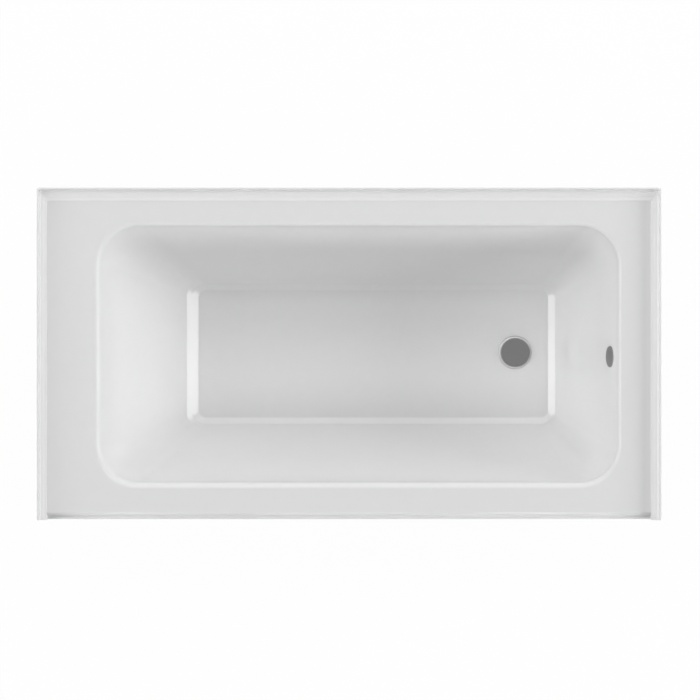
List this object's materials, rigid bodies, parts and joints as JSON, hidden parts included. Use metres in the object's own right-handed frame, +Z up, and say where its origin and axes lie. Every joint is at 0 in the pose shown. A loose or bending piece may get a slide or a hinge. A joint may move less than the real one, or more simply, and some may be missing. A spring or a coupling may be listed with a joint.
{
  "type": "alcove bathtub",
  "caption": "Rectangular white alcove bathtub with a raised tile flange on three sides, an apron at the open front, an end drain with a lift-up stopper and an overflow.",
  "frame": {"origin": "middle of the footprint, on the floor under the levelling feet", "axes": "+X along the length towards the drain end, +Y towards the back wall, +Z up; the apron faces -Y"},
  "size_m": [1.524, 0.813, 0.515],
  "materials": {
    "acrylic": "gloss white acrylic",
    "laminate": "rough sprayed glass-fibre laminate",
    "board": "resin-coated particle board",
    "timber": "sawn softwood",
    "zinc_steel": "zinc plated",
    "screw_metal": "bright plated",
    "fitting_metal": "satin plated, mid grey",
    "brass": "machined",
    "spring_steel": "bright wire",
    "seal_rubber": "moulded",
    "washer_plastic": "natural polythene",
    "waste_plastic": "white tubular waste plastic",
    "nut_plastic": "moulded white",
    "foot_plastic": "moulded black"
  },
  "bodies": {
    "tub": {"acrylic_shell": "acrylic", "front_apron": "acrylic", "fibreglass_backing": "laminate", "floor_board": "board", "deck_rail_front": "timber", "deck_rail_back": "timber", "deck_rail_left": "timber", "deck_rail_right": "timber", "apron_batten": "timber", "cross_rail_1": "zinc_steel", "cross_rail_2": "zinc_steel", "cross_rail_3": "zinc_steel", "board_screws": "zinc_steel", "bracket_bolts": "zinc_steel", "apron_brackets": "zinc_steel", "apron_clips": "zinc_steel", "foot_weld_nuts": "zinc_steel", "foot_lock_nuts": "zinc_steel", "apron_screws": "screw_metal", "drain_flange": "fitting_metal", "overflow_cover": "fitting_metal", "stopper_post": "brass", "overflow_lock_ring": "brass", "stopper_spring": "spring_steel", "drain_gasket": "seal_rubber", "overflow_gasket": "seal_rubber", "slip_washers": "washer_plastic", "drain_shoe": "waste_plastic", "waste_pipe": "waste_plastic", "waste_tee": "waste_plastic", "overflow_pipe": "waste_plastic", "tailpiece": "waste_plastic", "slip_nuts": "nut_plastic", "overflow_elbow": "waste_plastic"},
    "stopper": {"stopper_cap": "fitting_metal", "stopper_seal": "seal_rubber"},
    "foot_1": {"foot_pad_1": "foot_plastic", "foot_spindle_1": "zinc_steel"},
    "foot_2": {"foot_pad_2": "foot_plastic", "foot_spindle_2": "zinc_steel"},
    "foot_3": {"foot_pad_3": "foot_plastic", "foot_spindle_3": "zinc_steel"},
    "foot_4": {"foot_pad_4": "foot_plastic", "foot_spindle_4": "zinc_steel"},
    "foot_5": {"foot_pad_5": "foot_plastic", "foot_spindle_5": "zinc_steel"},
    "foot_6": {"foot_pad_6": "foot_plastic", "foot_spindle_6": "zinc_steel"}
  },
  "joints": [
    {"name": "stopper_lift", "type": "slide", "parent": "tub", "child": "stopper", "axis": [0, 0, 1], "range_m": [0, 0.009], "deforming": ["stopper_spring"]},
    {"name": "foot_1_height", "type": "slide", "parent": "tub", "child": "foot_1", "axis": [0, 0, 1], "range_m": [-0.012, 0.008]},
    {"name": "foot_2_height", "type": "slide", "parent": "tub", "child": "foot_2", "axis": [0, 0, 1], "range_m": [-0.012, 0.008]},
    {"name": "foot_3_height", "type": "slide", "parent": "tub", "child": "foot_3", "axis": [0, 0, 1], "range_m": [-0.012, 0.008]},
    {"name": "foot_4_height", "type": "slide", "parent": "tub", "child": "foot_4", "axis": [0, 0, 1], "range_m": [-0.012, 0.008]},
    {"name": "foot_5_height", "type": "slide", "parent": "tub", "child": "foot_5", "axis": [0, 0, 1], "range_m": [-0.012, 0.008]},
    {"name": "foot_6_height", "type": "slide", "parent": "tub", "child": "foot_6", "axis": [0, 0, 1], "range_m": [-0.012, 0.008]}
  ]
}
